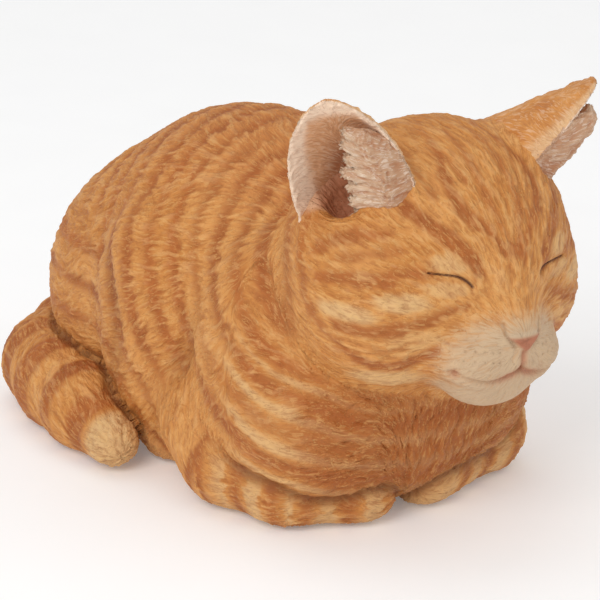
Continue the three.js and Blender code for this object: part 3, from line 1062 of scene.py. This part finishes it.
def coat_paint(name):
    p = Paint(name, 0.62)
    hair = p.hairs(0.0047, 0.0042, 0.00055, 0.0)
    hair2 = p.hairs(0.0073, 0.0065, 0.0009, 0.31)
    lines = p.math("ADD", p.math("MULTIPLY", hair, 0.6), p.math("MULTIPLY", hair2, 0.4))
    lift = p.mark("lift")
    cloud = p.noise(p.position(), 45.0, 3.0)
    base = p.mix(p.ramp(cloud, 0.35, 0.65), GOLD_DEEP, GOLD)
    base = p.mix(p.ramp(p.mark("high"), 0, 1, 0.0, 0.5), base, BACK)
    dark = p.mix(p.ramp(cloud, 0.4, 0.6), STRIPE, STRIPE_DEEP)
    edge = p.math("ADD", p.mark("stripe"),
                  p.math("MULTIPLY", p.math("SUBTRACT", lines, 0.5), 1.3))
    colour = p.mix(p.ramp(edge, 0.05, 0.8, 0.0, 0.92), base, dark)
    colour = p.mix(p.ramp(p.mark("cream"), 0.1, 1.0, 0.0, 0.85), colour, CREAM)
    # where the carved locks stand high the paint is lighter, partly dry-brush and partly painted
    # highlight; where they lie low it is darker, painted shade
    colour = p.mix(p.math("MULTIPLY", p.ramp(lift, 0.5, 1.0), 0.25), colour, DRYBRUSH_AND_HIGHLIGHT)
    colour = p.mix(p.math("MULTIPLY", p.ramp(lift, 0.5, 0.0), 0.3), colour, LOCK_GAP_SHADE)
    colour = p.mix(p.ramp(p.mark("shade"), 0.0, 1.0, 0.0, 0.7), colour, STRIPE_DEEP)
    white = p.math("ADD", p.mark("white"),
                   p.math("MULTIPLY", p.math("SUBTRACT", lines, 0.5), 1.6))
    colour = p.mix(p.ramp(white, 0.15, 1.05, 0.0, 0.92), colour, WHITE)
    short = p.ramp(p.mark("white"), 0.0, 1.0, 1.0, 0.3)
    # the strands follow the bump: lighter on its crests, partly dry-brushed strands and partly
    # painted highlight; darker in its grooves, partly dark strands and partly painted shade
    colour = p.mix(p.math("MULTIPLY", p.ramp(lines, 0.50, 0.63, 0.0, 0.32), short), colour,
                   LIGHT_STRAND_AND_HIGHLIGHT)
    colour = p.mix(p.math("MULTIPLY", p.ramp(lines, 0.50, 0.37, 0.0, 0.36), short), colour,
                   DARK_STRAND_AND_SHADE)
    colour = p.mix(p.mark("inner"), colour, EAR_SKIN)
    # painted shade down in an ear
    colour = p.mix(p.math("MULTIPLY", p.mark("hollow_shade"), 0.9), colour, EAR_HOLLOW_SHADE)
    # painted shade in the grooves and creases of the body
    colour = p.mix(p.math("MULTIPLY", p.mark("crease_shade"), 0.6), colour, CREASE_SHADE)
    colour = p.mix(p.mark("pink"), colour, ROSE)
    # painted highlight on the top edge of the nose
    colour = p.mix(p.mark("nose_highlight"), colour, WHITE)
    colour = p.mix(p.ramp(p.mark("line"), 0.15, 0.9), colour, LINE)
    p.put(colour, p.shader.inputs["Base Color"])
    p.put(p.ramp(lines, 0.35, 0.65, 0.55, 0.72), p.shader.inputs["Roughness"])
    p.bump(lines, 0.9, 0.0009)
    return p.m


def ear_paint(name):
    p = Paint(name, 0.62)
    hair = p.hairs(0.0038, 0.0032, 0.0005, 0.12)
    cloud = p.noise(p.position(), 70.0, 3.0)
    colour = p.mix(p.ramp(cloud, 0.35, 0.65), GOLD_DEEP, GOLD)
    colour = p.mix(p.ramp(p.mark("stripe"), 0, 0.5, 0, 0.5), colour, STRIPE)
    colour = p.mix(p.mark("edge"), colour, linear((222, 178, 130)))
    inner = p.mix(p.ramp(cloud, 0.3, 0.7), linear((224, 172, 130)), linear((212, 156, 112)))
    colour = p.mix(p.mark("inner"), colour, inner)
    # painted shade down in the ear's cup
    colour = p.mix(p.ramp(p.mark("hollow_shade"), 0.1, 0.95, 0, 0.85), colour, EAR_HOLLOW_SHADE)
    colour = p.mix(p.ramp(p.mark("cream"), 0.05, 0.7, 0.0, 0.95), colour, linear((244, 216, 190)))
    # the strands follow the bump: lighter on its crests, partly dry-brush and partly painted
    # highlight; darker in its grooves, partly dark strands and partly painted shade
    colour = p.mix(p.ramp(hair, 0.50, 0.66, 0.0, 0.35), colour, linear((236, 208, 180)))
    colour = p.mix(p.ramp(hair, 0.50, 0.34, 0.0, 0.3), colour, linear((160, 96, 58)))
    p.put(colour, p.shader.inputs["Base Color"])
    p.put(p.ramp(hair, 0.35, 0.65, 0.55, 0.72), p.shader.inputs["Roughness"])
    p.bump(hair, 0.7, 0.0005)
    return p.m


def tuft_paint(name):
    p = Paint(name, 0.6)
    hair = p.hairs(0.0035, 0.0032, 0.00042, 0.52)
    colour = p.mix(p.mark("tint"), linear((178, 126, 90)), linear((208, 178, 148)))
    # darker where the clumps lie low, painted shade between them
    colour = p.mix(p.ramp(p.mark("lift"), 0.45, 0.0, 0, 0.6), colour, linear((176, 118, 82)))
    # the strands follow the bump: darker in its grooves, partly dark strands and partly painted
    # shade; lighter on its crests, partly dry-brush and partly painted highlight
    colour = p.mix(p.ramp(hair, 0.5, 0.36, 0, 0.4), colour, linear((186, 134, 100)))
    colour = p.mix(p.ramp(hair, 0.5, 0.66, 0, 0.4), colour, linear((240, 224, 208)))
    p.put(colour, p.shader.inputs["Base Color"])
    p.put(p.ramp(hair, 0.35, 0.65, 0.52, 0.68), p.shader.inputs["Roughness"])
    p.bump(hair, 0.7, 0.0005)
    return p.m


def rubber_paint():
    p = Paint("stopper_rubber", 0.7)
    grain = p.noise(p.position(), 900.0, 3.0)
    p.put(p.mix(grain, (0.018, 0.018, 0.018, 1), (0.04, 0.038, 0.036, 1)),
          p.shader.inputs["Base Color"])
    p.put(p.ramp(grain, 0.3, 0.7, 0.62, 0.8), p.shader.inputs["Roughness"])
    p.bump(grain, 0.3, 0.0002)
    return p.m


def felt_paint():
    p = Paint("felt", 0.95)
    fibre = p.noise(p.vmath("MULTIPLY", p.position(), (1.0, 1.0, 2.5)), 1400.0, 4.0, 0.7)
    patch = p.noise(p.position(), 60.0, 2.0)
    colour = p.mix(p.ramp(fibre, 0.3, 0.7), (0.012, 0.012, 0.012, 1), (0.05, 0.048, 0.046, 1))
    colour = p.mix(p.ramp(patch, 0.4, 0.7, 0, 0.3), colour, (0.06, 0.057, 0.054, 1))
    p.put(colour, p.shader.inputs["Base Color"])
    p.shader.inputs["Sheen Weight"].default_value = 0.3
    p.put(p.ramp(fibre, 0.3, 0.7, 0.85, 1.0), p.shader.inputs["Roughness"])
    p.bump(fibre, 0.8, 0.0004)
    return p.m


# ---------------------------------------------------------------- the felt


def felt_pad(node):
    """The felt foot as a soft-edged sheet: its outline is the CAD sheet's, its faces are fuzzy."""
    o = copy_of(frame["nodes"][node], "felt_pad")
    for key in list(o.keys()):
        del o[key]
    o.parent = None
    o.hide_render = o.hide_viewport = False
    b = o.modifiers.new("soft edge", "BEVEL")
    b.width, b.segments, b.angle_limit = 0.0003, 2, math.radians(60)
    only(o)
    bpy.ops.object.modifier_apply(modifier=b.name)
    crisp(o, 40)
    return o


# ---------------------------------------------------------------- building


def finish_piece(o, node, material):
    o.data.materials.clear()
    o.data.materials.append(material)
    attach(o, "root")
    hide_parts(node)


coat_material = coat_paint("tabby_coat")
ear_material = ear_paint("ear_skin")
tuft_material = tuft_paint("ear_hair")

skins = []
for name, form, lo, hi, step in (
        ("coat", lambda p: np.maximum(whole(p), above_neck(p) - LAP),
         (-64, -82, GROUND - 4), (62, 114, 112), BODY_STEP),
        ("mask", lambda p: np.maximum(whole(p), -above_neck(p) - LAP),
         (-52, -106, 34), (50, -4, 126), HEAD_STEP)):
    skins.append(make_object(name, *carve(form, lo, hi, step)))
for key, o in part(*skins).items():
    finish_piece(o, key + "_casting" if key in ("head", "body", "tail") else key,
                 coat_material)
for s, side in ((-1, "right"), (1, "left")):
    v, q, marks, flow = ear_skin(s)
    o = make_object("ear_" + side + "_skin", v, q, marks, flow)
    finish_piece(o, "ear_" + side, ear_material)
    v, q, marks, flow = tuft(s)
    o = make_object("ear_tuft_" + side + "_locks", v, q, marks, flow)
    finish_piece(o, "ear_tuft_" + side, tuft_material)
pad = felt_pad("base_felt")
finish_piece(pad, "base_felt", felt_paint())
stopper = frame["nodes"]["pour_hole_stopper"]
stopper.data.materials.clear()
stopper.data.materials.append(rubber_paint())

# ---------------------------------------------------------------- floor, light and camera


def stage():
    bm = bmesh.new()
    bmesh.ops.create_grid(bm, x_segments=2, y_segments=2, size=3.0)
    floor = object_of(bm, "floor")
    p = Paint("pale_floor", 0.9)
    grain = p.noise(p.position(), 40.0, 2.0)
    p.put(p.mix(grain, (0.9, 0.9, 0.9, 1), (0.93, 0.93, 0.93, 1)), p.shader.inputs["Base Color"])
    p.shader.inputs["Specular IOR Level"].default_value = 0.1
    p.shader.inputs["Emission Color"].default_value = (1, 1, 1, 1)
    p.shader.inputs["Emission Strength"].default_value = 0.14
    floor.data.materials.append(p.m)


def light(name, place, size, power, aim=(0, 0, 0.05)):
    data = bpy.data.lights.new(name, "AREA")
    data.shape = "DISK"
    data.size = size
    data.energy = power
    o = bpy.data.objects.new(name, data)
    bpy.context.scene.collection.objects.link(o)
    o.location = place
    o.rotation_euler = (Vector(aim) - Vector(place)).to_track_quat("-Z", "Y").to_euler()


VIEW_AZ, VIEW_EL = math.radians(-40), math.radians(20)
VIEW_AIM, VIEW_FAR = Vector((0, 0, 0.05)), 1.2  # metres
VIEW_SCALE, IMAGE_WIDE = 3400.0, 600  # pixels per metre, pixels


def camera():
    data = bpy.data.cameras.new("camera")
    data.sensor_width = 36
    data.lens = data.sensor_width * VIEW_FAR * VIEW_SCALE / IMAGE_WIDE
    o = bpy.data.objects.new("camera", data)
    bpy.context.scene.collection.objects.link(o)
    back = Vector((math.sin(VIEW_AZ) * math.cos(VIEW_EL), -math.cos(VIEW_AZ) * math.cos(VIEW_EL),
                   math.sin(VIEW_EL)))
    o.location = VIEW_AIM + back * VIEW_FAR
    o.rotation_euler = (-back).to_track_quat("-Z", "Y").to_euler()
    bpy.context.scene.camera = o


stage()
camera()
light("key", (-1.15, -0.55, 1.0), 0.9, 9.5)
light("fill", (0.9, -0.9, 0.7), 1.2, 2)
light("top", (0.0, 0.4, 1.5), 1.2, 2.5)
world = bpy.data.worlds.new("studio")
bpy.context.scene.world = world
world.use_nodes = True
world.node_tree.nodes["Background"].inputs[0].default_value = (1, 1, 1, 1)
world.node_tree.nodes["Background"].inputs[1].default_value = 0.62
bpy.context.scene.view_settings.view_transform = "Standard"
